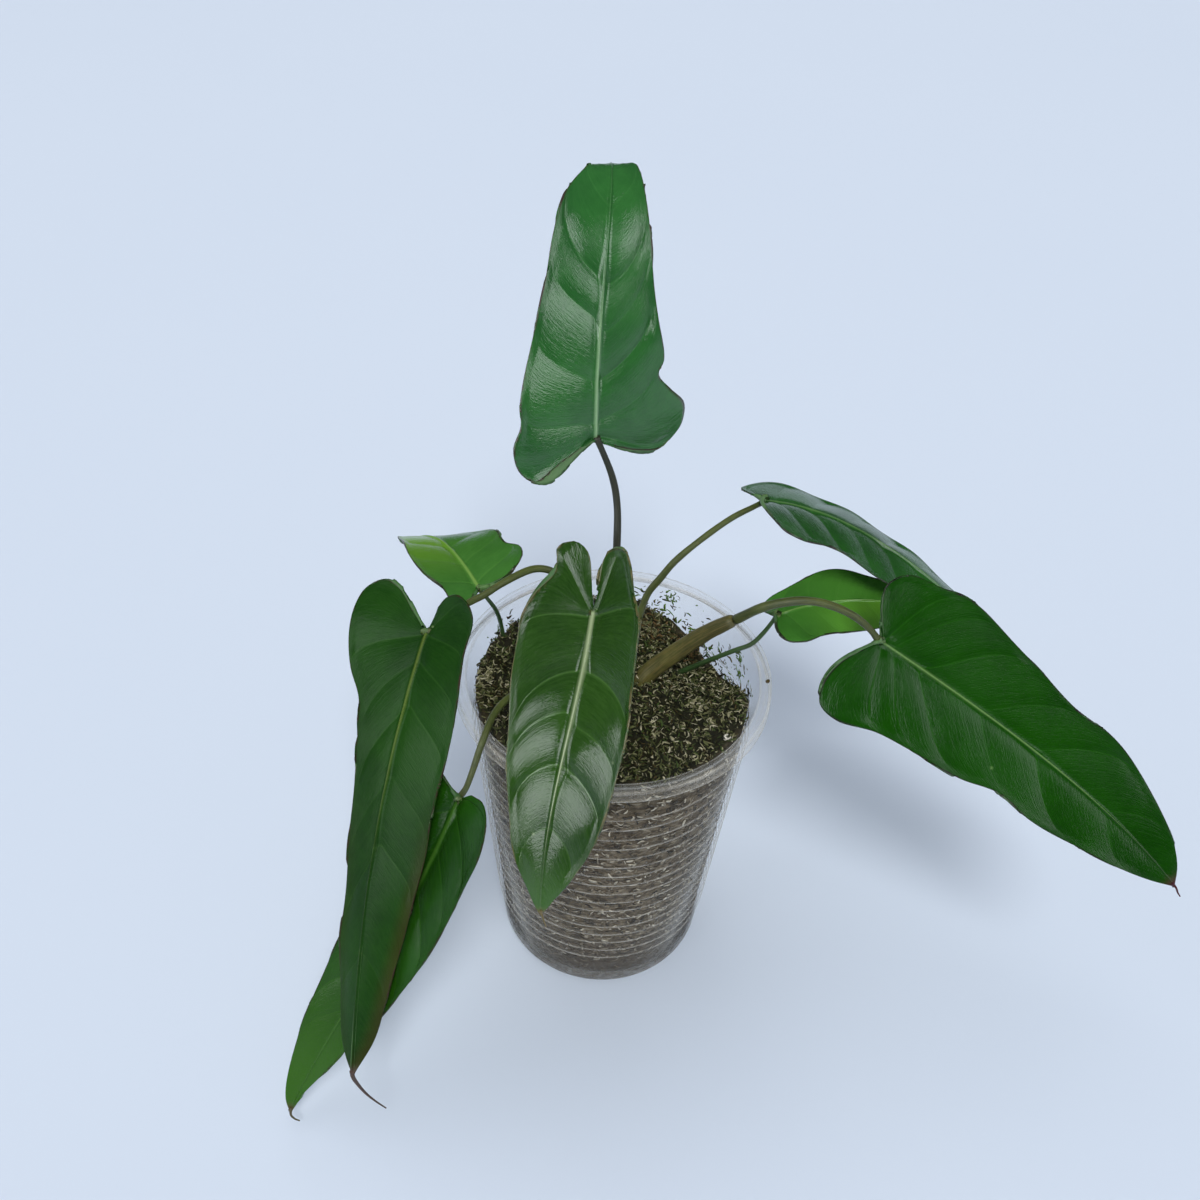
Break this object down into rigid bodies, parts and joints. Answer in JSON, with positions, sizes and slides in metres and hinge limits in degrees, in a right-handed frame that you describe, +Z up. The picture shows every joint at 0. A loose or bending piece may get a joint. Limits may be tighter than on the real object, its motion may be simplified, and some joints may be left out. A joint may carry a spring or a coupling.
{
  "type": "potted plant",
  "caption": "Young philodendron with glossy arrow-shaped leaves on arching stalks, standing in a clear ringed plastic cup filled with moss and fibre.",
  "frame": {"origin": "centre of the cup's base, on the surface that the cup stands on", "axes": "+Z up the cup's axis; -Y is the picture's side, towards which the front leaf hangs; the big single leaf reaches out to +X"},
  "size_m": [0.2584, 0.1664, 0.2432],
  "materials": {
    "clear_cup": "gloss",
    "moss_mix": "matte",
    "petiole": "satin",
    "leaf_sheath": "satin",
    "leaf": "gloss",
    "young_leaf": "gloss"
  },
  "bodies": {
    "root": {"cup": "clear_cup", "substrate": "moss_mix", "crown_stem": "petiole", "sheath_large": "leaf_sheath", "sheath_small": "leaf_sheath", "petiole_tall": "petiole", "blade_tall": "leaf", "petiole_front": "petiole", "blade_front": "leaf", "petiole_left": "petiole", "blade_left": "leaf", "petiole_low_left": "petiole", "blade_low_left": "young_leaf", "petiole_small_left": "petiole", "blade_small_left": "young_leaf", "petiole_back_right": "petiole", "blade_back_right": "leaf", "petiole_right": "petiole", "blade_right": "leaf", "petiole_small_right": "petiole", "blade_small_right": "young_leaf"}
  },
  "joints": []
}
